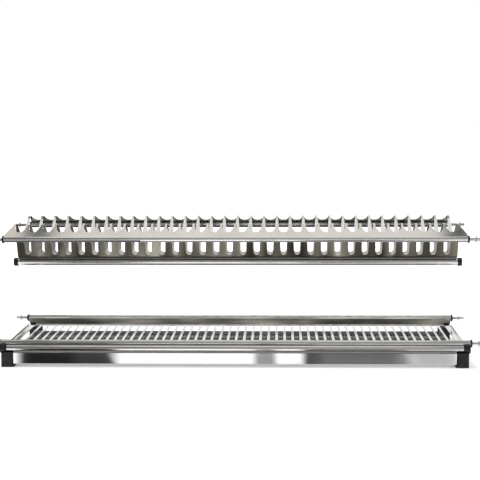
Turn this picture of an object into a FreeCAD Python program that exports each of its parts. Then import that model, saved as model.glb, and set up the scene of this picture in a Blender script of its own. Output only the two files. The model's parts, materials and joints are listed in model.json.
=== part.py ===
import FreeCAD, Part
import math
import os

# Cabinet dish rack in millimetres: a plate rack above a cup rack, both carried by pins in the
# cabinet sides, and a drip tray that slides out to the front below the cup rack.
# X runs from left to right, Y to the back, Z up. The origin is under the middle of the rack,
# level with its lowest point.

V = FreeCAD.Vector
ACROSS = V(1, 0, 0)
TOUCH = 1e-3                 # points closer than this count as one
PAST = 1.0                   # how far a cutting shape runs past what it cuts

# Cabinet and rack
inner_width = 864.0          # between the cabinet sides
side_gap = 13.0              # from an end cap to the cabinet side
front_offset = 50.0          # the plate rack stands this far behind the cup rack
shelf_height = 179.0         # from the cup rack's tubes up to the plate rack's front tube

# Tubes and sheet
tube_diameter = 10.0
tube_wall = 1.0
sheet = 0.8
curl_end_angle = 186.0       # where the sheet's curled edge ends on a front tube

# End caps and wall pins
cap_diameter = 13.6
cap_thickness = 3.0
cap_plug_length = 14.0
pin_diameter = 5.0
pin_clearance = 0.05
pin_reach = 4.0              # how far a pin's slot reaches into the end cap
pin_end_gap = 0.3
pin_chamfer = 0.4
flange_diameter = 11.0
flange_thickness = 1.6
spigot_diameter = 5.0
spigot_length = 9.0
mouth_chamfer = 1.0          # at the mouth of an end cap's slot
cap_round = 0.8

# Plate rack
plate_depth = 214.0          # front tube to rear tube
rear_rise = 5.0              # the rear tube stands higher, so that plates lean back
rear_inset = 8.0             # the rear tube is shorter than the front tube by this at each end
plate_pitch = 25.2
plate_end_land = 7.0         # least sheet between the last slot's pitch and the end of the sheet
fin_corner_reach = 46.0      # from a tube to the corner of its row of fins, before it is rounded
fin_corner_height = 26.6
fin_bend = 16.0
fin_tip_width = 3.8
fin_tip_reach = 34.0         # from a tube to the narrow part of a fin
fin_tip_length = 18.0
notch_reach = 12.0           # from a tube to the start of a slot
notch_half = 5.8
notch_round = 4.0
notch_belly = 9.7            # half the slot's width halfway up a fin
notch_belly_reach = 25.0
plate_slot_width = 13.4      # at the top of the wall
slot_foot_width = 11.6
wall_top_drop = 16.9
wall_top_bend = 6.0
wall_lean = 9.0              # how far the wall leans towards the trough
wall_foot_drop = 44.2
wall_foot_bend = 3.0
trough_chamfer = 10.0        # from the wall's foot to the edge of the floor
trough_drop = 50.2
trough_bend = 3.0
trough_floor_half = 6.0
trough_end_gap = 5.0         # the trough ends this far inside the front tube's end
sheet_end_gap = 0.3          # from the sheet to an end cap
slot_foot_border = 3.4       # wall left below a slot
lower_tube_diameter = 13.0
lower_tube_overhang = 2.5
lower_cap_diameter = 15.2
lower_cap_length = 8.0
lower_cap_end = 2.4

# Cup rack
cup_depth = 255.0
cup_floor_drop = 13.8
cup_bend = 2.0
cup_slot_pitch = 15.0
cup_end_bare = 1.2           # tube that shows between the tray and an end cap
cup_end_land = 7.0           # least sheet between the last slot's pitch and the tray's side
cup_slot_width = 10.4
cup_slot_margin = 11.0       # from a tube to the ends of the slots
cup_notch_width = 13.0       # at the corners of the tray's floor, where its walls are bent up
cup_notch_height = 5.0
side_flange_height = 4.0
side_flange_setback = 10.0   # from a tube to the ends of a side flange

# Hangers
hanger_tube_diameter = 12.0
hanger_tube_outset = 7.0     # the hanger tube lies outside and below the shelf's tube, against it
hanger_head_diameter = 16.8
hanger_head_width = 10.0
hanger_head_outset = 0.5     # the head's middle stands this far outside the hanger tube's
hanger_head_lift = 0.5
hanger_head_round = 0.8
hanger_fit = 0.05
hanger_pin_gap = 0.4         # from a hanger to the slot of the wall pin beside it
hanger_end_wall = 2.0
hanger_neck_depth = 12.0
hanger_block_width = 20.0
hanger_block_outset = 2.6    # the block stands inside the head's outer end
hanger_block_depth = 38.0
hanger_block_round = 1.2
hanger_lip_length = 1.5
hanger_lip_thickness = 1.4
ledge_reach = 3.0
ledge_thickness = 5.0

# Drip tray
drip_sheet = 1.0
drip_depth = 273.0
drip_height = 20.0
drip_rear_height = 8.4
drip_side_clearance = 0.5
drip_top_clearance = 0.5
drip_floor_clearance = 0.3
drip_corner = 3.0
drip_foot_round = 1.5

# Values worked out from these
tube_radius = tube_diameter / 2
cap_radius = cap_diameter / 2
pin_radius = pin_diameter / 2
rack_half = inner_width / 2 - side_gap
tube_half = rack_half - cap_thickness
cup_tray_half = tube_half - cup_end_bare
lower_half = rack_half + lower_tube_overhang
trough_half = tube_half - trough_end_gap
plate_slots = int(2 * (trough_half - plate_end_land) / plate_pitch)
cup_slots = int(2 * (cup_tray_half - cup_end_land) / cup_slot_pitch)
wall_foot_reach = plate_depth / 2 - trough_floor_half - trough_chamfer
wall_top_reach = wall_foot_reach - wall_lean
fin_tip_end = fin_tip_reach + fin_tip_length
curl_radius = tube_radius + sheet / 2
lower_tube_radius = lower_tube_diameter / 2
hanger_tube_radius = hanger_tube_diameter / 2
hanger_head_radius = hanger_head_diameter / 2

hanger_reach = hanger_tube_outset + hanger_head_outset + hanger_head_radius
rear_reach = max(front_offset + plate_depth + cap_radius, cup_depth + hanger_reach)
total_depth = hanger_reach + rear_reach
cup_front_y = hanger_reach - total_depth / 2
cup_rear_y = cup_front_y + cup_depth
plate_front_y = cup_front_y + front_offset
plate_rear_y = plate_front_y + plate_depth

hanger_tube_drop = math.sqrt((tube_radius + hanger_tube_radius)**2 - hanger_tube_outset**2)
ledge_top_drop = (hanger_tube_drop + hanger_tube_radius + drip_top_clearance + drip_height
                  + drip_floor_clearance)
cup_tube_z = ledge_top_drop + ledge_thickness
plate_tube_z = cup_tube_z + shelf_height
plate_rear_z = plate_tube_z + rear_rise

hanger_outer_x = rack_half - pin_reach - hanger_pin_gap
hanger_inner_x = hanger_outer_x - hanger_head_width
block_outer_x = hanger_outer_x - hanger_block_outset
block_inner_x = block_outer_x - hanger_block_width
hanger_tube_half = hanger_outer_x - hanger_end_wall
drip_half = block_inner_x - drip_side_clearance


def export(shape, name):
    """Writes one sub-part."""
    shape.exportStep(os.path.join("parts", name + ".step"))


def cylinder_x(radius, x0, x1, y, z):
    """A round bar along X."""
    return Part.makeCylinder(radius, x1 - x0, V(x0, y, z), ACROSS)


def box(x0, x1, y0, y1, z0, z1):
    """A box given by its faces."""
    return Part.makeBox(x1 - x0, y1 - y0, z1 - z0, V(x0, y0, z0))


def mirrored_x(shape):
    """The same shape on the rack's other side."""
    return shape.mirror(V(0, 0, 0), ACROSS)


def export_pair(shape, name):
    """Writes a sub-part of the right side and its mirrored twin on the left."""
    export(shape, name + "_right")
    export(mirrored_x(shape), name + "_left")


def ends_along_x(shape, x_values):
    """The edges that lie wholly in one of the given planes across X."""
    def lies_in(edge, x):
        return abs(edge.BoundBox.XMin - x) < TOUCH and abs(edge.BoundBox.XMax - x) < TOUCH
    return [edge for edge in shape.Edges if any(lies_in(edge, x) for x in x_values)]


def upright_edges(shape):
    """The straight edges of a box that run up."""
    return [edge for edge in shape.Edges if edge.BoundBox.ZLength > max(edge.BoundBox.XLength,
                                                                        edge.BoundBox.YLength)]


def tube(radius, wall, half, y, z):
    """A round tube along X, centred on the rack's middle."""
    return cylinder_x(radius, -half, half, y, z).cut(cylinder_x(radius - wall, -half, half, y, z))


def circle_point(centre, radius, angle):
    """A point on a circle in the YZ plane; angle 0 points to the back, 90 up."""
    turn = math.radians(angle)
    return V(0, centre.y + radius * math.cos(turn), centre.z + radius * math.sin(turn))


def circle_arc(centre, radius, start, end):
    """An arc in the YZ plane from one angle to another."""
    middle = (start + end) / 2
    points = [circle_point(centre, radius, angle) for angle in (start, middle, end)]
    return Part.Arc(*points).toShape()


def tangent_angle(centre, radius, point, side):
    """Where a straight line from a point touches a circle, on the side given by +1 or -1."""
    dy = point.y - centre.y
    dz = point.z - centre.z
    spread = math.degrees(math.acos(radius / math.hypot(dy, dz)))
    return math.degrees(math.atan2(dz, dy)) + side * spread


def bent_run(points, bends):
    """Straight runs through the points, with a rounded bend at each point between the ends."""
    edges = []
    start = points[0]
    for before, corner, after, radius in zip(points, points[1:], points[2:], bends):
        inward = (before - corner).normalize()
        outward = (after - corner).normalize()
        half_angle = inward.getAngle(outward) / 2
        setback = radius / math.tan(half_angle)
        bisector = (inward + outward).normalize()
        arc_start = corner + inward * setback
        arc_end = corner + outward * setback
        arc_middle = corner + bisector * (radius / math.sin(half_angle) - radius)
        edges.append(Part.LineSegment(start, arc_start).toShape())
        edges.append(Part.Arc(arc_start, arc_middle, arc_end).toShape())
        start = arc_end
    edges.append(Part.LineSegment(start, points[-1]).toShape())
    return edges


def sheet_along(edges, thickness, half):
    """A bent sheet whose middle follows the edges, centred on the rack's middle."""
    skin = Part.Wire(edges).extrude(V(2 * half, 0, 0))
    skin.translate(V(-half, 0, 0))
    upper = skin.makeOffsetShape(thickness / 2, 1e-4)
    solid = upper.makeOffsetShape(-thickness, 1e-4, fill=True)
    return Part.Solid(solid.Shells[0]) if solid.ShapeType != "Solid" else solid


def end_cap_slot(x0, x1, y, z):
    """The space for a wall pin in an end cap: a round seat that is open to the bottom."""
    seat = pin_radius + pin_clearance
    throat = box(x0, x1, y - seat, y + seat, z - cap_radius - PAST, z)
    return cylinder_x(seat, x0, x1, y, z).fuse(throat)


def shelf_tube(end_x, y, z):
    """A shelf's tube, slotted below at both ends for the wall pins; end_x is where its end caps end."""
    bar = tube(tube_radius, tube_wall, end_x - cap_thickness, y, z)
    slot = end_cap_slot(end_x - pin_reach, end_x, y, z)
    return bar.cut(slot).cut(mirrored_x(slot))


def slot_mouth(x0, x1, y, z):
    """A wedge that widens the mouth of an end cap's slot."""
    seat = pin_radius + pin_clearance
    lip = z - cap_radius
    outline = Part.makePolygon([V(x0, y - seat - mouth_chamfer, lip), V(x0, y + seat + mouth_chamfer, lip),
                                V(x0, y, lip + seat + mouth_chamfer), V(x0, y - seat - mouth_chamfer, lip)])
    return Part.Face(outline).extrude(V(x1 - x0, 0, 0))


def end_cap(end_x, y, z):
    """The right end cap of a shelf's tube: a disc and a plug, slotted for the wall pin."""
    disc_x = end_x - cap_thickness
    disc = cylinder_x(cap_radius, disc_x, end_x, y, z)
    disc = disc.makeFillet(cap_round, ends_along_x(disc, [end_x]))
    plug = cylinder_x(tube_radius - tube_wall, disc_x - cap_plug_length, disc_x, y, z)
    slot = end_cap_slot(end_x - pin_reach, end_x + PAST, y, z)
    mouth = slot_mouth(disc_x, end_x, y, z)
    return disc.fuse(plug).cut(slot).cut(mouth).removeSplitter()


def wall_pin(end_x, y, z):
    """A right wall pin: the shank in the end cap, the flange and the spigot in the cabinet."""
    wall_x = inner_width / 2
    tip_x = end_x - pin_reach + pin_end_gap
    shank = cylinder_x(pin_radius, tip_x, wall_x - flange_thickness, y, z)
    flange = cylinder_x(flange_diameter / 2, wall_x - flange_thickness, wall_x, y, z)
    spigot = cylinder_x(spigot_diameter / 2, wall_x, wall_x + spigot_length, y, z)
    pin = shank.fuse(flange).fuse(spigot).removeSplitter()
    return pin.makeChamfer(pin_chamfer, ends_along_x(pin, [tip_x, wall_x + spigot_length]))


def plate_point(reach, height, from_rear=False):
    """A point of the plate rack's section, given from its front or its rear tube."""
    y = plate_depth - reach if from_rear else reach
    return V(0, plate_front_y + y, plate_tube_z + height + rear_rise * y / plate_depth)


def half_section(from_rear):
    """The trough's section from a row of fins down to its floor."""
    return [plate_point(fin_corner_reach, fin_corner_height, from_rear),
            plate_point(wall_top_reach, -wall_top_drop, from_rear),
            plate_point(wall_foot_reach, -wall_foot_drop, from_rear),
            plate_point(wall_foot_reach + trough_chamfer, -trough_drop, from_rear)]


def plan_point(x, reach, from_rear=False):
    """A point of the plate rack seen from above, in the plane of the rack's lowest point."""
    return V(x, plate_point(reach, 0, from_rear).y, 0)


def notch_outline(from_rear):
    """A plate slot seen from above, from its round start past the fins to the top of the wall."""
    def half(side):
        middle_x = side * (notch_half - notch_round)
        corner_x = middle_x + side * notch_round * math.sqrt(0.5)
        corner_reach = notch_reach + notch_round * (1 - math.sqrt(0.5))
        tip_x = side * (plate_pitch - fin_tip_width) / 2
        start = plan_point(middle_x, notch_reach, from_rear)
        flank = plan_point(side * notch_half, notch_reach + notch_round, from_rear)
        tip = plan_point(tip_x, fin_tip_reach, from_rear)
        tip_end = plan_point(tip_x, fin_tip_end, from_rear)
        corner = plan_point(corner_x, corner_reach, from_rear)
        belly = plan_point(side * notch_belly, notch_belly_reach, from_rear)
        wall_top = plan_point(side * plate_slot_width / 2, wall_top_reach, from_rear)
        edges = [Part.Arc(start, corner, flank).toShape(), Part.Arc(flank, belly, tip).toShape(),
                 Part.LineSegment(tip, tip_end).toShape(), Part.LineSegment(tip_end, wall_top).toShape()]
        return edges, start, wall_top

    right, right_start, right_end = half(1)
    left, left_start, left_end = half(-1)
    across = [Part.LineSegment(left_start, right_start).toShape(),
              Part.LineSegment(left_end, right_end).toShape()]
    return Part.Face(Part.Wire(Part.__sortEdges__(right + left + across)))


def end_waste():
    """What is cut off the right end of the bent sheet, seen from above: each row of fins is narrower."""
    tip_x = plate_slots * plate_pitch / 2 + fin_tip_width / 2
    front_x = tube_half - sheet_end_gap
    rear_x = front_x - rear_inset
    far_x = front_x + PAST
    outline = [plan_point(front_x, -tube_diameter), plan_point(front_x, tube_radius),
               plan_point(tip_x, fin_tip_reach), plan_point(tip_x, fin_tip_end),
               plan_point(trough_half, wall_top_reach), plan_point(trough_half, wall_top_reach, True),
               plan_point(tip_x, fin_tip_end, True), plan_point(tip_x, fin_tip_reach, True),
               plan_point(rear_x, tube_radius, True), plan_point(rear_x, -tube_diameter, True),
               plan_point(far_x, -tube_diameter, True), plan_point(far_x, -tube_diameter)]
    return Part.Face(Part.makePolygon(outline + outline[:1]))


def wall_slot(from_rear):
    """The lower part of a plate slot, cut through the trough's wall along Y."""
    foot_half = slot_foot_width / 2
    top_half = plate_slot_width / 2
    top = plate_point(wall_top_reach, -wall_top_drop, from_rear)
    foot = plate_point(wall_foot_reach, -wall_foot_drop, from_rear)
    middle_z = foot.z + slot_foot_border + foot_half
    top_z = top.z + wall_top_bend
    direction = 1 if foot.y > top.y else -1
    start_y = top.y - direction * wall_top_bend
    along = V(0, foot.y + direction * wall_foot_bend - start_y, 0)
    corners = [V(-foot_half, start_y, middle_z), V(foot_half, start_y, middle_z),
               V(top_half, start_y, top_z), V(-top_half, start_y, top_z), V(-foot_half, start_y, middle_z)]
    flanks = Part.Face(Part.makePolygon(corners)).extrude(along)
    foot_end = Part.makeCylinder(foot_half, along.Length, V(0, start_y, middle_z), along)
    return foot_end.fuse(flanks)


def plate_trough():
    """The plate rack's stamped sheet, with its rows of fins and a slot for each plate."""
    front_tube = V(0, plate_front_y, plate_tube_z)
    rear_tube = V(0, plate_rear_y, plate_rear_z)
    front_half = half_section(False)
    rear_half = half_section(True)[::-1]
    front_leave = tangent_angle(front_tube, curl_radius, front_half[0], 1)
    rear_leave = tangent_angle(rear_tube, curl_radius, rear_half[-1], -1)
    run = [circle_point(front_tube, curl_radius, front_leave)]
    run += front_half + rear_half
    run += [circle_point(rear_tube, curl_radius, rear_leave)]
    bends = [fin_bend, wall_top_bend, wall_foot_bend, trough_bend]
    edges = [circle_arc(front_tube, curl_radius, curl_end_angle, front_leave)]
    edges += bent_run(run, bends + bends[::-1])
    edges += [circle_arc(rear_tube, curl_radius, rear_leave, 180 - curl_end_angle)]
    body = sheet_along(edges, sheet, tube_half - sheet_end_gap)
    up = V(0, 0, plate_rear_z + fin_corner_height)
    waste = end_waste().extrude(up)
    cutters = [waste, mirrored_x(waste)]
    wall_top_z = plate_tube_z - wall_top_drop - wall_top_bend
    for from_rear in (False, True):
        outline = notch_outline(from_rear)
        outline.translate(V(0, 0, wall_top_z))
        cutter = outline.extrude(up).fuse(wall_slot(from_rear))
        for slot in range(plate_slots):
            copy = cutter.copy()
            copy.translate(V((slot - (plate_slots - 1) / 2) * plate_pitch, 0, 0))
            cutters.append(copy)
    return body.cut(Part.makeCompound(cutters))


def plate_lower_tube_centre():
    """The lower tube lies against the underside of the trough's floor, which tilts a little."""
    floor = plate_point(plate_depth / 2, -trough_drop)
    tilt = math.atan2(rear_rise, plate_depth)
    down = V(0, math.sin(tilt), -math.cos(tilt))
    return floor + down * (sheet / 2 + lower_tube_radius)


def lower_cap():
    """The right cap of the lower tube: a cup over the end of the tube."""
    centre = plate_lower_tube_centre()
    cup = cylinder_x(lower_cap_diameter / 2, lower_half - lower_cap_length, lower_half, centre.y, centre.z)
    cup = cup.makeFillet(cap_round, ends_along_x(cup, [lower_half]))
    tube_end = lower_half - lower_cap_end
    return cup.cut(cylinder_x(lower_tube_radius, 0, tube_end, centre.y, centre.z))


def cup_tray():
    """The cup rack's sheet: curled over both tubes, with a row of long drain slots."""
    front_tube = V(0, cup_front_y, cup_tube_z)
    rear_tube = V(0, cup_rear_y, cup_tube_z)
    floor_z = cup_tube_z - cup_floor_drop
    run = [circle_point(front_tube, curl_radius, 0),
           V(0, cup_front_y + curl_radius, floor_z),
           V(0, cup_rear_y - curl_radius, floor_z),
           circle_point(rear_tube, curl_radius, 180)]
    edges = [circle_arc(front_tube, curl_radius, curl_end_angle, 0)]
    edges += bent_run(run, [cup_bend, cup_bend])
    edges += [circle_arc(rear_tube, curl_radius, 180, 180 - curl_end_angle)]
    body = sheet_along(edges, sheet, cup_tray_half)
    flange = box(cup_tray_half - sheet, cup_tray_half, cup_front_y + side_flange_setback,
                 cup_rear_y - side_flange_setback, floor_z, floor_z + side_flange_height)
    body = body.fuse(flange).fuse(mirrored_x(flange)).removeSplitter()
    front_end = cup_front_y + cup_slot_margin + cup_slot_width / 2
    rear_end = cup_rear_y - cup_slot_margin - cup_slot_width / 2
    slot = box(-cup_slot_width / 2, cup_slot_width / 2, front_end, rear_end, floor_z - sheet, floor_z + sheet)
    for end_y in (front_end, rear_end):
        slot = slot.fuse(Part.makeCylinder(cup_slot_width / 2, 2 * sheet, V(0, end_y, floor_z - sheet)))
    slot = slot.removeSplitter()
    cutters = []
    for place in range(cup_slots):
        copy = slot.copy()
        copy.translate(V((place - (cup_slots - 1) / 2) * cup_slot_pitch, 0, 0))
        cutters.append(copy)
    wall_reach = curl_radius + cup_bend + sheet
    for y0, y1 in ((cup_front_y, cup_front_y + wall_reach), (cup_rear_y - wall_reach, cup_rear_y)):
        notch = box(cup_tray_half - cup_notch_width, cup_tray_half + PAST, y0, y1,
                    floor_z - sheet, floor_z + cup_notch_height)
        cutters += [notch, mirrored_x(notch)]
    return body.cut(Part.makeCompound(cutters))


def hanger(shelf_y, inward):
    """The right hanger below one tube of the cup rack; inward is +1 at the front and -1 at the rear."""
    tube_y = shelf_y - inward * hanger_tube_outset
    tube_z = cup_tube_z - hanger_tube_drop
    head_y = tube_y - inward * hanger_head_outset
    head = cylinder_x(hanger_head_radius, hanger_inner_x, hanger_outer_x, head_y, tube_z + hanger_head_lift)
    head = head.makeFillet(hanger_head_round, ends_along_x(head, [hanger_inner_x, hanger_outer_x]))
    near = shelf_y - inward * hanger_reach
    y0, y1 = sorted((near, near + inward * hanger_block_depth))
    block_top = tube_z - hanger_tube_radius
    block = box(block_inner_x, block_outer_x, y0, y1, 0, block_top)
    block = block.makeFillet(hanger_block_round, upright_edges(block))
    ledge = box(block_inner_x - ledge_reach, block_outer_x - hanger_block_round, y0 + hanger_block_round,
                y1 - hanger_block_round, 0, ledge_thickness)
    neck = box(hanger_inner_x, block_outer_x, head_y - hanger_neck_depth / 2,
               head_y + hanger_neck_depth / 2, block_top, tube_z)
    lip = cylinder_x(hanger_tube_radius + hanger_lip_thickness, hanger_inner_x - hanger_lip_length,
                     hanger_inner_x, tube_y, tube_z)
    body = head.fuse([neck, block, ledge, lip])
    hanger_tube_room = cylinder_x(hanger_tube_radius + hanger_fit, 0, hanger_tube_half, tube_y, tube_z)
    shelf_tube_room = cylinder_x(tube_radius + sheet + hanger_fit, 0, rack_half, shelf_y, cup_tube_z)
    y0, y1 = sorted((shelf_y, shelf_y + inward * cup_depth))
    tray_room = box(0, cup_tray_half + hanger_fit, y0, y1,
                    cup_tube_z - cup_floor_drop - sheet / 2 - hanger_fit, cup_tube_z + cap_radius)
    return body.cut(hanger_tube_room).cut(shelf_tube_room).cut(tray_room).removeSplitter()


def drip_tray():
    """A shallow pan that slides on the hangers' ledges; its rear wall is lower than the front one."""
    front_y = cup_front_y - hanger_reach
    rear_y = front_y + drip_depth
    bottom = ledge_thickness + drip_floor_clearance
    top = bottom + drip_height
    pan = box(-drip_half, drip_half, front_y, rear_y, bottom, top)
    pan = pan.makeFillet(drip_corner, upright_edges(pan))
    foot = [edge for edge in pan.Edges if edge.BoundBox.ZMax < bottom + TOUCH]
    pan = pan.makeFillet(drip_foot_round, foot)
    room = box(-drip_half + drip_sheet, drip_half - drip_sheet, front_y + drip_sheet,
               rear_y - drip_sheet, bottom + drip_sheet, top + PAST)
    room = room.makeFillet(drip_corner - drip_sheet, upright_edges(room))
    foot = [edge for edge in room.Edges if edge.BoundBox.ZMax < bottom + drip_sheet + TOUCH]
    room = room.makeFillet(drip_foot_round, foot)
    above_rear = box(-drip_half, drip_half, rear_y - drip_corner, rear_y,
                     bottom + drip_rear_height, top)
    return pan.cut(room).cut(above_rear)


os.makedirs("parts", exist_ok=True)

shelf_tubes = {"plate_front": (rack_half, plate_front_y, plate_tube_z),
               "plate_rear": (rack_half - rear_inset, plate_rear_y, plate_rear_z),
               "cup_front": (rack_half, cup_front_y, cup_tube_z),
               "cup_rear": (rack_half, cup_rear_y, cup_tube_z)}
for name, place in shelf_tubes.items():
    export(shelf_tube(*place), name + "_tube")
    export_pair(end_cap(*place), name + "_cap")
    export_pair(wall_pin(*place), name + "_wall_pin")

export(plate_trough(), "plate_trough")
lower = plate_lower_tube_centre()
export(tube(lower_tube_radius, tube_wall, lower_half - lower_cap_end, lower.y, lower.z), "plate_lower_tube")
export_pair(lower_cap(), "plate_lower_cap")

export(cup_tray(), "cup_tray")
for place, y, inward in (("front", cup_front_y, 1), ("rear", cup_rear_y, -1)):
    export(tube(hanger_tube_radius, tube_wall, hanger_tube_half, y - inward * hanger_tube_outset,
                cup_tube_z - hanger_tube_drop), "hanger_tube_" + place)
    export_pair(hanger(y, inward), "hanger_" + place)

export(drip_tray(), "drip_tray")
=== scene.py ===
import json
import math

import bpy
from mathutils import Matrix, Vector


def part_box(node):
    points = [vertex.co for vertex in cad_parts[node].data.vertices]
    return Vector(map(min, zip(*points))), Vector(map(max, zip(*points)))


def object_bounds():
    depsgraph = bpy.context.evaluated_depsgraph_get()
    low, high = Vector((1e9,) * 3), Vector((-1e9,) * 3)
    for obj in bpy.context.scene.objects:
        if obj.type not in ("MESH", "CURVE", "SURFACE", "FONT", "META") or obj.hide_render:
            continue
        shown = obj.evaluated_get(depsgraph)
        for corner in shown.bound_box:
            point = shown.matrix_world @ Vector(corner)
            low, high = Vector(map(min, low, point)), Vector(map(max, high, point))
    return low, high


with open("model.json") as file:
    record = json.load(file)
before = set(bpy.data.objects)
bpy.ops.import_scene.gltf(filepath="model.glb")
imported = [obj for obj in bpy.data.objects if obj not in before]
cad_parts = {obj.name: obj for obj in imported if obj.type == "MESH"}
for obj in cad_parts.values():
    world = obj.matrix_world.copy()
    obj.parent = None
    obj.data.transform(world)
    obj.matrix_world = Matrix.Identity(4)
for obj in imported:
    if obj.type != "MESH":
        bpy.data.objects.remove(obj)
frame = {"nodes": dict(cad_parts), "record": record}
cad_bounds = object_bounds()


def grey(level, warmth=0.0):
    """A grey, a little warmer with warmth above 0."""
    return (level * (1 + warmth), level, level * (1 - warmth), 1)


# Camera, measured from the middle of the plate rack's front tube
FOCAL_MM = 93.165
SENSOR_MM = 36.0
CLIP_END = 50
CAMERA_OFFSET = Vector((0.0832, -2.2109, 0.2514))
YAW = math.radians(1.90)
PITCH = math.radians(6.51)
ROLL = math.radians(-0.25)

# Lamps: name, place, width, height and power
LAMP_TARGET = (0, 0, 0.1)
LAMPS = [("key", (-0.5, 0.4, 2.2), 2.0, 1.2, 46),
         ("fill", (1.2, -1.8, 1.4), 1.2, 1.2, 14)]

# Floor
FLOOR_DROP = 0.0006          # keeps the floor clear of the rack's lowest faces
FLOOR_SIZE = 9.0
FLOOR_COLOUR = (0.80, 0.80, 0.795, 1)
FLOOR_PALER = (0.84, 0.84, 0.835, 1)
FLOOR_GLOW = (0.25, 0.60)    # what the floor adds where it is seen or mirrored, near the rack and far from it
FAR_FLOOR = (0.8, 3.0)       # the distances between which that changes

# World
WHITE = (1, 1, 1, 1)
SOFT_LIGHT = (0.95, 0.97, 1.0, 1)
SOFT_STRENGTH = 0.75
DARK_EDGE = (0.08, 0.36)     # the directions along Y between which the dark in front turns into the white behind
DARK_BY_HEIGHT = [(0.0, grey(0.40)), (0.2, grey(0.42)), (0.5, grey(0.48)), (0.75, grey(0.33)), (1.0, grey(0.40))]
DARK_SIDES = (-0.19, -0.05)  # the directions along X between which the darker left side turns brighter
DARK_LEFT = 0.45             # how bright the left side is

# Shades of the cards that the steel mirrors: painted reflections and painted shade, glowing planes that light
# nothing; no card is seen by the camera itself
# Painted shade and painted reflections that the plate rack's trough mirrors from below
WALL_SHADES = [(0.035, 0.031, 0.024, 1), (0.10, 0.088, 0.072, 1), (0.25, 0.228, 0.19, 1), (0.54, 0.51, 0.45, 1)]
CHAMFER_PAINTED_SHADE = [grey(0.01), grey(0.03), grey(0.09)]
REAR_PAINTED_SHADE = [(0.004, 0.004, 0.003, 1), (0.02, 0.02, 0.016, 1), (0.08, 0.08, 0.065, 1)]
# Painted reflections high over the rack: tints for the fins, and dark patches for the end fins
SKY_SHADES = [(0.80, 0.73, 0.66, 1), (0.92, 0.91, 0.84, 1), (0.86, 0.78, 0.76, 1), (1.0, 0.98, 0.96, 1)]
SKY_PINK = [(0.85, 0.72, 0.64, 1), (0.9, 0.82, 0.76, 1)]
SKY_LEFT = [grey(0.05), (0.10, 0.105, 0.085, 1)]
SKY_RIGHT = [grey(0.06), (0.12, 0.125, 0.10, 1)]
# Painted shade over the drip tray's floor and behind the rack, a painted highlight line across the tray and a pale
# painted reflection over its lip
BEHIND_PAINTED_SHADE = [grey(0.02), grey(0.055)]
LINE_PAINTED_HIGHLIGHT = [grey(0.8), grey(0.9)]
LIP_PAINTED_REFLECTION = [grey(0.55), grey(0.75)]
# A band of painted shade in the cup tray; white painted reflections for its rear wall and the rear fins; pale
# painted reflections for its rear tube
BAND_PAINTED_SHADE = [(0.035, 0.033, 0.028, 1), (0.075, 0.07, 0.06, 1), (0.16, 0.155, 0.135, 1), (0.42, 0.40, 0.36, 1)]
REAR_WALL_PAINTED_REFLECTION = [grey(0.95), WHITE]
REAR_TUBE_PAINTED_REFLECTION = [grey(0.30), grey(0.55), grey(0.95)]
# A pale painted reflection over the cup rack's front
CUP_FRONT_PAINTED_REFLECTION = [grey(0.65), grey(0.80)]
SHADE_SPREAD = 0.2           # how far a card's two greys lie below and above its level

# Cards under the plate rack, painted shade and painted reflections that the trough's walls, chamfer and rear side
# mirror: name, Y span, height over the middle of the lower tube, shades, patch and stretch
TROUGH_X = (-0.8, 0.8)
TROUGH_CARDS = [("card_under_walls", (-0.06, 0.075), 0.001, WALL_SHADES, 0.035, 8),
                ("card_under_chamfer", (0.0145, 0.07), 0.0016, CHAMFER_PAINTED_SHADE, 0.12, 1),
                ("card_under_rear", (0.08, 0.4), 0.001, REAR_PAINTED_SHADE, 0.05, 1)]

# Cards high over the rack, painted reflections: tints that the fins mirror, and dark patches that darken the end
# fins: name, X span, shades and soft
SKY_HEIGHT = 1.5
SKY_STEP = 0.001             # from one card up to the next
SKY_Y = (-0.6, 1.6)
SKY_PATCH = 0.14
HIGH_CARDS = [("card_high_left", (-0.71, -0.60), SKY_LEFT, 0.2),
              ("card_high_pink", (-0.90, -0.715), SKY_PINK, 0.05),
              ("card_high_middle", (-0.62, 0.56), SKY_SHADES, 0.02),
              ("card_high_right", (0.56, 0.67), SKY_RIGHT, 0.2)]

# Cards on the floor in front of the drip tray, painted reflections, mostly dark, that its front mirrors: name, X
# span, level of grey and soft
FRONT_GAP = 0.004            # from the rack to the cards
FRONT_REACH = 1.2
FRONT_HEIGHT = 0.001
FRONT_STEP = 0.0004          # from one card up to the next
FRONT_PATCH = 0.3
FRONT_CARDS = [("card_far_left", (-0.392, -0.195), 0.062, 0.12), ("card_left_dark", (-0.388, -0.262), 0.022, 0.30),
               ("card_middle", (0.030, 0.082), 0.38, 0.30), ("card_right", (0.115, 0.180), 0.10, 0.25),
               ("card_far_right", (0.138, 0.330), 0.19, 0.15), ("card_end", (0.270, 0.44), 0.55, 0.40)]

# Upright cards beside the rack, painted reflections, the left one dark: name, X, Y from start to end, and shade
SIDE_HEIGHTS = (0.03, 0.30)
SIDE_SOFT = 0.3
SIDE_CARDS = [("card_side_left", -0.47, (-0.16, 0.44), (0.15, 0.155, 0.12, 1)),
              ("card_side_right", 0.47, (0.44, -0.04), (0.5, 0.5, 0.48, 1))]

# Cards that face down under the cup tray, which the drip tray mirrors: painted shade over its floor, a painted
# highlight line across it and a pale painted reflection over its lip: name, Y span, drop below the tray and shades
UNDER_TRAY_X = (-0.41, 0.41)
CUP_TRAY_CARDS = [("card_over_drip_tray", (-0.02, 0.125), 0.0008, BEHIND_PAINTED_SHADE),
                  ("card_line_over_tray", (0.050, 0.064), 0.0013, LINE_PAINTED_HIGHLIGHT),
                  ("card_over_drip_lip", (-0.12, -0.02), 0.0008, LIP_PAINTED_REFLECTION)]

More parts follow.
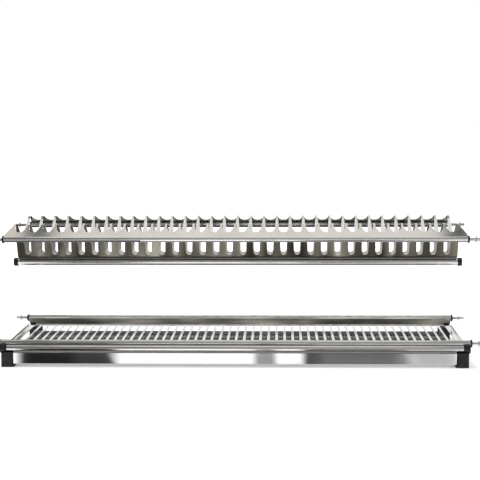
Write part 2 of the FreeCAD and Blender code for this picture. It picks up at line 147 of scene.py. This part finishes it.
# Cards in the cup tray: on its floor and before its rear wall, before its rear tube, and by its left flange; a
# band of painted shade that the tray's rear mirrors, a white painted reflection before the rear wall, pale painted
# reflections in the rear tube and painted shade by the left flange
CUP_TRAY_X = (-0.43, 0.43)
CUP_FLOOR_RISE = 0.0015      # from the tray's underside up to a card on its floor
CUP_FLOOR_REACH = 0.075      # from the rear wall forward
CUP_FLOOR_PATCH = 0.12
REAR_WALL_GAP = 0.0015       # from the card before the rear wall to the rear tube
REAR_TUBE_Y = 0.05           # where the card stands that the rear tube mirrors
REAR_TUBE_HEIGHTS = (0.034, 0.09)
REAR_TUBE_PATCH = 0.10
LEFT_FLANGE_X = (-0.432, -0.40)
LEFT_FLANGE_Y = (-0.118, 0.118)

# Cards on the front hanger tube, a dark painted shade line on the left and a painted highlight on the right: name,
# X span, darkest and palest grey
HANGER_TUBE_RISE = 0.0007    # from the top of the tube up to the cards
HANGER_TUBE_REACH = 0.001    # how far the cards stand out before the rack
CUP_TUBE_GAP = 0.006         # from the cards to the middle of the cup rack's front tube
HANGER_TUBE_PATCH = 0.10
HANGER_TUBE_SOFT = 0.1
HANGER_TUBE_CARDS = [("card_hanger_tube_left", (-0.46, 0.16), 0.012, 0.06),
                     ("card_hanger_tube_right", (0.12, 0.46), 0.45, 0.95)]

# Cards under the plate rack's front tube, painted shade for its lower rows: name, X span, reach to the front and
# level of grey
UNDER_TUBE_DROP = 0.009      # from the middle of the tube down to the cards
UNDER_TUBE_BACK = 0.02       # how far the cards reach back
UNDER_TUBE_PATCH = 0.15
UNDER_TUBE_CARDS = [("card_under_tube_left", (-0.45, -0.17), 0.03, 0.16),
                    ("card_under_tube_right", (-0.17, 0.45), 0.009, 0.35)]

# Cards over the cup rack's front, behind the drip tray and over the rear fins: a pale painted reflection, painted
# shade and a white painted reflection
CUP_FRONT_X = (-0.42, 0.42)
CUP_FRONT_Y = (-0.13, -0.03)
CUP_FRONT_HEIGHT = 0.06
CUP_FRONT_PATCH = 0.15
BEHIND_HALF = 0.6
BEHIND_GAP = 0.02            # from the rack back to the card
BEHIND_HEIGHTS = (0.002, 0.030)
REAR_FINS_X = (-0.7, 0.7)
REAR_FINS_Y = (-0.07, 0.035)
REAR_FINS_HEIGHT = 0.5

# Noise values between which a ramp runs from its first to its last shade
FINE_RANGE = (0.35, 0.65)
BROAD_RANGE = (0.3, 0.7)

# Steel
HAIR = 0.0004                # width of the hair lines
HAIR_SHARE = 0.35            # of the tone; the rest is clouds
CLOUD_SCALE = 24.0

# Plastic
UNEVEN_SCALE = 60.0
GLOSS_SPREAD = 0.08
PLASTIC_SPECULAR = 0.35


def node(tree, kind, **values):
    """Adds a shader node; values are its own settings or, where it has such a socket, the socket's value."""
    made = tree.nodes.new(kind)
    for key, value in values.items():
        if hasattr(made, key):
            setattr(made, key, value)
        else:
            made.inputs[key.replace("_", " ")].default_value = value
    return made


def new_tree(name):
    """A material with an empty node tree."""
    material = bpy.data.materials.new(name)
    material.use_nodes = True
    material.node_tree.nodes.clear()
    return material, material.node_tree


def middle(name):
    """The middle of a CAD node's box."""
    low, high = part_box(name)
    return (low + high) / 2


def add_camera():
    """The camera at the photograph's viewing angle."""
    data = bpy.data.cameras.new("camera")
    data.lens = FOCAL_MM
    data.sensor_width = SENSOR_MM
    data.clip_end = CLIP_END
    camera = bpy.data.objects.new("camera", data)
    forward = Vector((-math.sin(YAW) * math.cos(PITCH), math.cos(YAW) * math.cos(PITCH), -math.sin(PITCH)))
    right = Vector((math.cos(YAW), math.sin(YAW), 0))
    up = right.cross(forward)
    turned_right = right * math.cos(ROLL) + up * math.sin(ROLL)
    turned_up = up * math.cos(ROLL) - right * math.sin(ROLL)
    rotation = Matrix((turned_right, turned_up, -forward)).transposed().to_4x4()
    camera.matrix_world = Matrix.Translation(middle("plate_front_tube") + CAMERA_OFFSET) @ rotation
    bpy.context.scene.collection.objects.link(camera)
    bpy.context.scene.camera = camera


def seen_directly(tree):
    """The light path, and 1 for camera, glossy and transmission rays but 0 for diffuse light."""
    path = node(tree, "ShaderNodeLightPath")
    both = node(tree, "ShaderNodeMath", operation="MAXIMUM")
    total = node(tree, "ShaderNodeMath", operation="MAXIMUM")
    tree.links.new(path.outputs["Is Camera Ray"], both.inputs[0])
    tree.links.new(path.outputs["Is Glossy Ray"], both.inputs[1])
    tree.links.new(both.outputs[0], total.inputs[0])
    tree.links.new(path.outputs["Is Transmission Ray"], total.inputs[1])
    return path, total


def ramp(tree, stops, source):
    """A colour ramp with (position, colour) stops, driven by a socket."""
    made = node(tree, "ShaderNodeValToRGB")
    elements = made.color_ramp.elements
    for element, (position, colour) in zip(elements, (stops[0], stops[-1])):
        element.position = position
        element.color = colour
    for position, colour in stops[1:-1]:
        elements.new(position).color = colour
    tree.links.new(source, made.inputs[0])
    return made.outputs[0]


def even_stops(shades, start, end):
    """Ramp stops for shades at even steps from start to end."""
    return [(start + (end - start) * step / (len(shades) - 1), shade) for step, shade in enumerate(shades)]


def map_range(tree, source, from_range, to_range=(0, 1), interpolation="LINEAR"):
    """A socket's value carried from one range over to another."""
    made = node(tree, "ShaderNodeMapRange", interpolation_type=interpolation)
    made.inputs["From Min"].default_value, made.inputs["From Max"].default_value = from_range
    made.inputs["To Min"].default_value, made.inputs["To Max"].default_value = to_range
    tree.links.new(source, made.inputs[0])
    return made.outputs[0]


def add_world():
    """White behind the rack, to the camera and in the metal; darker in front of it; soft light on the object."""
    world = bpy.data.worlds.new("studio")
    world.use_nodes = True
    tree = world.node_tree
    tree.nodes.clear()
    path, direct = seen_directly(tree)
    where = node(tree, "ShaderNodeTexCoord")
    axes = node(tree, "ShaderNodeSeparateXYZ")
    tree.links.new(where.outputs["Generated"], axes.inputs[0])
    front = ramp(tree, DARK_BY_HEIGHT, axes.outputs["Z"])
    left = map_range(tree, axes.outputs["X"], DARK_SIDES, (DARK_LEFT, 1), "SMOOTHSTEP")
    shaded = node(tree, "ShaderNodeMixRGB", blend_type="MULTIPLY")
    shaded.inputs[0].default_value = 1.0
    tree.links.new(front, shaded.inputs[1])
    tree.links.new(left, shaded.inputs[2])
    back = map_range(tree, axes.outputs["Y"], DARK_EDGE, interpolation="SMOOTHSTEP")
    surroundings = node(tree, "ShaderNodeMixRGB")
    surroundings.inputs[2].default_value = WHITE
    tree.links.new(back, surroundings.inputs[0])
    tree.links.new(shaded.outputs[0], surroundings.inputs[1])
    seen = node(tree, "ShaderNodeMixRGB")
    seen.inputs[2].default_value = WHITE
    tree.links.new(path.outputs["Is Camera Ray"], seen.inputs[0])
    tree.links.new(surroundings.outputs[0], seen.inputs[1])
    soft = node(tree, "ShaderNodeBackground", Color=SOFT_LIGHT, Strength=SOFT_STRENGTH)
    shown = node(tree, "ShaderNodeBackground", Strength=1.0)
    tree.links.new(seen.outputs[0], shown.inputs[0])
    mix = node(tree, "ShaderNodeMixShader")
    out = node(tree, "ShaderNodeOutputWorld")
    tree.links.new(direct.outputs[0], mix.inputs[0])
    tree.links.new(soft.outputs[0], mix.inputs[1])
    tree.links.new(shown.outputs[0], mix.inputs[2])
    tree.links.new(mix.outputs[0], out.inputs[0])
    bpy.context.scene.world = world


def add_plane(name, corners):
    """A flat four-sided piece of the stage; its texture runs from 0 to 1 between its sides."""
    mesh = bpy.data.meshes.new(name)
    mesh.from_pydata(corners, [], [(0, 1, 2, 3)])
    mesh.uv_layers.new(name="across").uv.foreach_set("vector", (0, 0, 1, 0, 1, 1, 0, 1))
    plane = bpy.data.objects.new(name, mesh)
    bpy.context.scene.collection.objects.link(plane)
    material, tree = new_tree(name)
    mesh.materials.append(material)
    return plane, tree


def add_floor():
    """A plain pale floor that keeps the rack's shadow and shows white elsewhere."""
    half = FLOOR_SIZE / 2
    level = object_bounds()[0][2] - FLOOR_DROP
    tree = add_plane("floor", level_corners((-half, half), (-half, half), level))[1]
    direct = seen_directly(tree)[1]
    grain = node(tree, "ShaderNodeTexNoise", Scale=3.0, Detail=2.0)
    tint = ramp(tree, even_stops([FLOOR_COLOUR, FLOOR_PALER], *BROAD_RANGE), grain.outputs[0])
    diffuse = node(tree, "ShaderNodeBsdfDiffuse")
    tree.links.new(tint, diffuse.inputs[0])
    glow = node(tree, "ShaderNodeEmission", Color=WHITE)
    where = node(tree, "ShaderNodeTexCoord")
    distance = node(tree, "ShaderNodeVectorMath", operation="LENGTH")
    tree.links.new(where.outputs["Object"], distance.inputs[0])
    strength = map_range(tree, distance.outputs["Value"], FAR_FLOOR, FLOOR_GLOW)
    amount = node(tree, "ShaderNodeMath", operation="MULTIPLY")
    tree.links.new(strength, amount.inputs[1])
    tree.links.new(direct.outputs[0], amount.inputs[0])
    tree.links.new(amount.outputs[0], glow.inputs["Strength"])
    both = node(tree, "ShaderNodeAddShader")
    out = node(tree, "ShaderNodeOutputMaterial")
    tree.links.new(diffuse.outputs[0], both.inputs[0])
    tree.links.new(glow.outputs[0], both.inputs[1])
    tree.links.new(both.outputs[0], out.inputs[0])


def add_card(name, corners, shades, patch=1.0, soft=0.0, stretch=1.0):
    """A card that glows only in reflections, from its face: a painted reflection or painted shade in the metal.
    Its shades lie in patches of the given width, stretched along Y, and its left and right sides fade over the
    given share of its width."""
    plane, tree = add_plane(name, corners)
    plane.visible_camera = False
    plane.visible_diffuse = False
    plane.visible_transmission = False
    plane.visible_volume_scatter = False
    plane.visible_shadow = False
    where = node(tree, "ShaderNodeTexCoord")
    spread = node(tree, "ShaderNodeMapping")
    spread.inputs["Scale"].default_value = (1, 1 / stretch, 1)
    tree.links.new(where.outputs["Object"], spread.inputs[0])
    patches = node(tree, "ShaderNodeTexNoise", Scale=1 / patch, Detail=1.0)
    tree.links.new(spread.outputs[0], patches.inputs["Vector"])
    glow = node(tree, "ShaderNodeEmission", Strength=1.0)
    tree.links.new(ramp(tree, even_stops(shades, *BROAD_RANGE), patches.outputs[0]), glow.inputs[0])
    clear = node(tree, "ShaderNodeBsdfTransparent")
    side = node(tree, "ShaderNodeNewGeometry")
    hidden = side.outputs["Backfacing"]
    if soft:
        across = node(tree, "ShaderNodeSeparateXYZ")
        tree.links.new(where.outputs["UV"], across.inputs[0])
        for fade_range in ((soft, 0), (1 - soft, 1)):
            more = node(tree, "ShaderNodeMath", operation="MAXIMUM")
            tree.links.new(hidden, more.inputs[0])
            tree.links.new(map_range(tree, across.outputs["X"], fade_range, interpolation="SMOOTHSTEP"),
                           more.inputs[1])
            hidden = more.outputs[0]
    mix = node(tree, "ShaderNodeMixShader")
    out = node(tree, "ShaderNodeOutputMaterial")
    tree.links.new(hidden, mix.inputs[0])
    tree.links.new(glow.outputs[0], mix.inputs[1])
    tree.links.new(clear.outputs[0], mix.inputs[2])
    tree.links.new(mix.outputs[0], out.inputs[0])


def two_greys(level):
    """A darker and a paler grey round a level."""
    return [grey(level * (1 - SHADE_SPREAD)), grey(level * (1 + SHADE_SPREAD))]


def level_corners(x_span, y_span, z):
    """The corners of a level rectangle that faces up; in the opposite order it faces down."""
    return [(x_span[0], y_span[0], z), (x_span[1], y_span[0], z), (x_span[1], y_span[1], z),
            (x_span[0], y_span[1], z)]


def upright_corners(start, end, low, high):
    """The corners of an upright card that faces right of the way from start to end."""
    return [(*start, low), (*end, low), (*end, high), (*start, high)]


def front_corners(x_span, y_near, reach, z):
    """The corners of a floor card in front of the rack, whose sides run away from the camera's mirror image."""
    camera = bpy.context.scene.camera.location
    spread = 1 + reach / (y_near - camera.y)
    far = [camera.x + (x - camera.x) * spread for x in x_span]
    return [(far[0], y_near - reach, z), (far[1], y_near - reach, z), (x_span[1], y_near, z),
            (x_span[0], y_near, z)]


def add_lamp(name, place, width, height, power):
    """A soft box that points at the rack and isn't mirrored."""
    data = bpy.data.lights.new(name, "AREA")
    data.shape = "RECTANGLE"
    data.size = width
    data.size_y = height
    data.energy = power
    lamp = bpy.data.objects.new(name, data)
    lamp.location = place
    lamp.rotation_euler = (Vector(LAMP_TARGET) - Vector(place)).to_track_quat("-Z", "Y").to_euler()
    lamp.visible_glossy = False
    bpy.context.scene.collection.objects.link(lamp)


def steel(name, shades, rough, rough_spread, line_length, relief_depth):
    """Polished stainless steel: hair lines along X, softly clouded gloss and a slight change of tone."""
    material, tree = new_tree(name)
    link = tree.links.new
    place = node(tree, "ShaderNodeTexCoord")
    stretch = node(tree, "ShaderNodeMapping")
    stretch.inputs["Scale"].default_value = (HAIR / line_length, 1, 1)
    link(place.outputs["Object"], stretch.inputs[0])
    lines = node(tree, "ShaderNodeTexNoise", Scale=1 / HAIR, Detail=4.0, Roughness=0.6)
    link(stretch.outputs[0], lines.inputs["Vector"])
    clouds = node(tree, "ShaderNodeTexNoise", Scale=CLOUD_SCALE, Detail=3.0, Roughness=0.5)
    link(place.outputs["Object"], clouds.inputs["Vector"])
    tone = node(tree, "ShaderNodeMath", operation="MULTIPLY_ADD")
    tone.inputs[1].default_value = HAIR_SHARE
    link(lines.outputs[0], tone.inputs[0])
    share = node(tree, "ShaderNodeMath", operation="MULTIPLY")
    share.inputs[1].default_value = 1 - HAIR_SHARE
    link(clouds.outputs[0], share.inputs[0])
    link(share.outputs[0], tone.inputs[2])
    relief = node(tree, "ShaderNodeBump", Strength=1.0, Distance=relief_depth)
    link(lines.outputs[0], relief.inputs["Height"])
    shader = node(tree, "ShaderNodeBsdfPrincipled", Metallic=1.0)
    link(ramp(tree, even_stops(shades, *FINE_RANGE), tone.outputs[0]), shader.inputs["Base Color"])
    link(map_range(tree, tone.outputs[0], FINE_RANGE, (rough, rough + rough_spread)), shader.inputs["Roughness"])
    link(relief.outputs[0], shader.inputs["Normal"])
    out = node(tree, "ShaderNodeOutputMaterial")
    link(shader.outputs[0], out.inputs[0])
    return material


def moulded(name, shades, rough, grain, relief_depth):
    """Black moulded plastic: a fine spark grain, with the tone a little uneven."""
    material, tree = new_tree(name)
    link = tree.links.new
    place = node(tree, "ShaderNodeTexCoord")
    fine = node(tree, "ShaderNodeTexNoise", Scale=1 / grain, Detail=3.0)
    link(place.outputs["Object"], fine.inputs["Vector"])
    broad = node(tree, "ShaderNodeTexNoise", Scale=UNEVEN_SCALE, Detail=3.0)
    link(place.outputs["Object"], broad.inputs["Vector"])
    relief = node(tree, "ShaderNodeBump", Strength=1.0, Distance=relief_depth)
    link(fine.outputs[0], relief.inputs["Height"])
    shader = node(tree, "ShaderNodeBsdfPrincipled", Specular_IOR_Level=PLASTIC_SPECULAR)
    link(ramp(tree, even_stops(shades, *BROAD_RANGE), broad.outputs[0]), shader.inputs["Base Color"])
    link(map_range(tree, fine.outputs[0], (0, 1), (rough - GLOSS_SPREAD, rough + GLOSS_SPREAD)),
         shader.inputs["Roughness"])
    link(relief.outputs[0], shader.inputs["Normal"])
    out = node(tree, "ShaderNodeOutputMaterial")
    link(shader.outputs[0], out.inputs[0])
    return material


add_camera()
add_world()
add_floor()
for lamp in LAMPS:
    add_lamp(*lamp)

rack_front = cad_bounds[0][1]
lower_tube = middle("plate_lower_tube")
# Painted shade under the trough, mirrored by its walls, chamfer and rear side
for name, y_span, rise, shades, patch, stretch in TROUGH_CARDS:
    corners = level_corners(TROUGH_X, y_span, lower_tube.z + rise)
    add_card(name, corners, shades, patch, stretch=stretch)
# Painted reflections over the rack: tints and dark patches in the fins
for step, (name, x_span, shades, soft) in enumerate(HIGH_CARDS):
    corners = level_corners(x_span, SKY_Y, SKY_HEIGHT + SKY_STEP * step)
    add_card(name, corners[::-1], shades, SKY_PATCH, soft)
# Painted reflections, mostly dark, in the drip tray's front
for step, (name, x_span, level, soft) in enumerate(FRONT_CARDS):
    height = cad_bounds[0][2] + FRONT_HEIGHT + FRONT_STEP * step
    corners = front_corners(x_span, rack_front - FRONT_GAP, FRONT_REACH, height)
    add_card(name, corners, two_greys(level), FRONT_PATCH, soft)
# Painted reflections beside the rack; the left one darkens the rack's left end
for name, x, (start, end), shade in SIDE_CARDS:
    add_card(name, upright_corners((x, start), (x, end), *SIDE_HEIGHTS), [shade, shade], soft=SIDE_SOFT)

cup_tray_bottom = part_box("cup_tray")[0].z
# Painted shade, a painted highlight line and a pale painted reflection, mirrored by the drip tray
for name, y_span, drop, shades in CUP_TRAY_CARDS:
    add_card(name, level_corners(UNDER_TRAY_X, y_span, cup_tray_bottom - drop)[::-1], shades)
# Painted shade on the cup tray's floor and by its left flange; painted reflections before its rear wall and rear
# tube
on_cup_floor = cup_tray_bottom + CUP_FLOOR_RISE
rear_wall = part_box("cup_rear_tube")[0].y - REAR_WALL_GAP
before_wall = level_corners(CUP_TRAY_X, (rear_wall - CUP_FLOOR_REACH, rear_wall), on_cup_floor)
add_card("card_on_cup_floor", before_wall, BAND_PAINTED_SHADE, CUP_FLOOR_PATCH)
wall_ends = [(x, rear_wall) for x in CUP_TRAY_X]
add_card("card_before_rear_wall", upright_corners(*wall_ends, on_cup_floor, middle("cup_rear_tube").z),
         REAR_WALL_PAINTED_REFLECTION)

# Painted shade and a painted highlight along the line between the cup rack's front tube and the hanger tube
on_hanger_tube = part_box("hanger_tube_front")[1].z + HANGER_TUBE_RISE
before_cup_tube = (rack_front - HANGER_TUBE_REACH, middle("cup_front_tube").y - CUP_TUBE_GAP)
for name, x_span, low, high in HANGER_TUBE_CARDS:
    add_card(name, level_corners(x_span, before_cup_tube, on_hanger_tube), [grey(low), grey(high)],
             HANGER_TUBE_PATCH, HANGER_TUBE_SOFT)

tube_ends = [(x, REAR_TUBE_Y) for x in reversed(CUP_TRAY_X)]
before_rear_tube = upright_corners(*tube_ends, *REAR_TUBE_HEIGHTS)
add_card("card_before_rear_tube", before_rear_tube, REAR_TUBE_PAINTED_REFLECTION, REAR_TUBE_PATCH)
add_card("card_by_left_flange", level_corners(LEFT_FLANGE_X, LEFT_FLANGE_Y, on_cup_floor), BAND_PAINTED_SHADE)

# Painted shade in the lower rows of the plate rack's front tube
front_tube = middle("plate_front_tube")
for name, x_span, reach, level in UNDER_TUBE_CARDS:
    y_span = (front_tube.y - reach, front_tube.y + UNDER_TUBE_BACK)
    corners = level_corners(x_span, y_span, front_tube.z - UNDER_TUBE_DROP)
    add_card(name, corners, two_greys(level), UNDER_TUBE_PATCH)

# A pale painted reflection over the cup rack's front, painted shade behind the drip tray and a white painted
# reflection over the rear fins
over_cup_front = level_corners(CUP_FRONT_X, CUP_FRONT_Y, CUP_FRONT_HEIGHT)
add_card("card_over_cup_front", over_cup_front, CUP_FRONT_PAINTED_REFLECTION, CUP_FRONT_PATCH)
behind = cad_bounds[1][1] + BEHIND_GAP
behind_tray = upright_corners((-BEHIND_HALF, behind), (BEHIND_HALF, behind), *BEHIND_HEIGHTS)
add_card("card_behind_tray", behind_tray, BEHIND_PAINTED_SHADE)
above_rear_fins = level_corners(REAR_FINS_X, REAR_FINS_Y, REAR_FINS_HEIGHT)
add_card("card_above_rear_fins", above_rear_fins[::-1], REAR_WALL_PAINTED_REFLECTION)

finishes = {
    "tube_steel": steel("tube_steel", [grey(0.66, 0.01), grey(0.72, 0.015)], rough=0.16, rough_spread=0.06,
                        line_length=0.03, relief_depth=2e-6),
    "sheet_steel": steel("sheet_steel", [grey(0.67, 0.02), (0.71, 0.71, 0.685, 1), grey(0.76, 0.02)], rough=0.11,
                         rough_spread=0.06, line_length=0.02, relief_depth=2e-6),
    "polished_steel": steel("polished_steel", [grey(0.70), grey(0.76)], rough=0.09, rough_spread=0.05,
                            line_length=0.04, relief_depth=2e-6),
    "pin_metal": steel("pin_metal", [grey(0.52), grey(0.66)], rough=0.28, rough_spread=0.10, line_length=0.002,
                       relief_depth=4e-6),
    "end_cap_plastic": moulded("end_cap_plastic", [grey(0.003), grey(0.007)], rough=0.45, grain=0.0008,
                               relief_depth=1e-5),
    "hanger_plastic": moulded("hanger_plastic", [grey(0.006), grey(0.012)], rough=0.50, grain=0.0009,
                              relief_depth=2e-5),
}
for part in frame["record"]["subparts"]:
    frame["nodes"][part["node"]].material_slots[0].material = finishes[part["material_slot"]]

bpy.context.scene.view_settings.view_transform = "Standard"
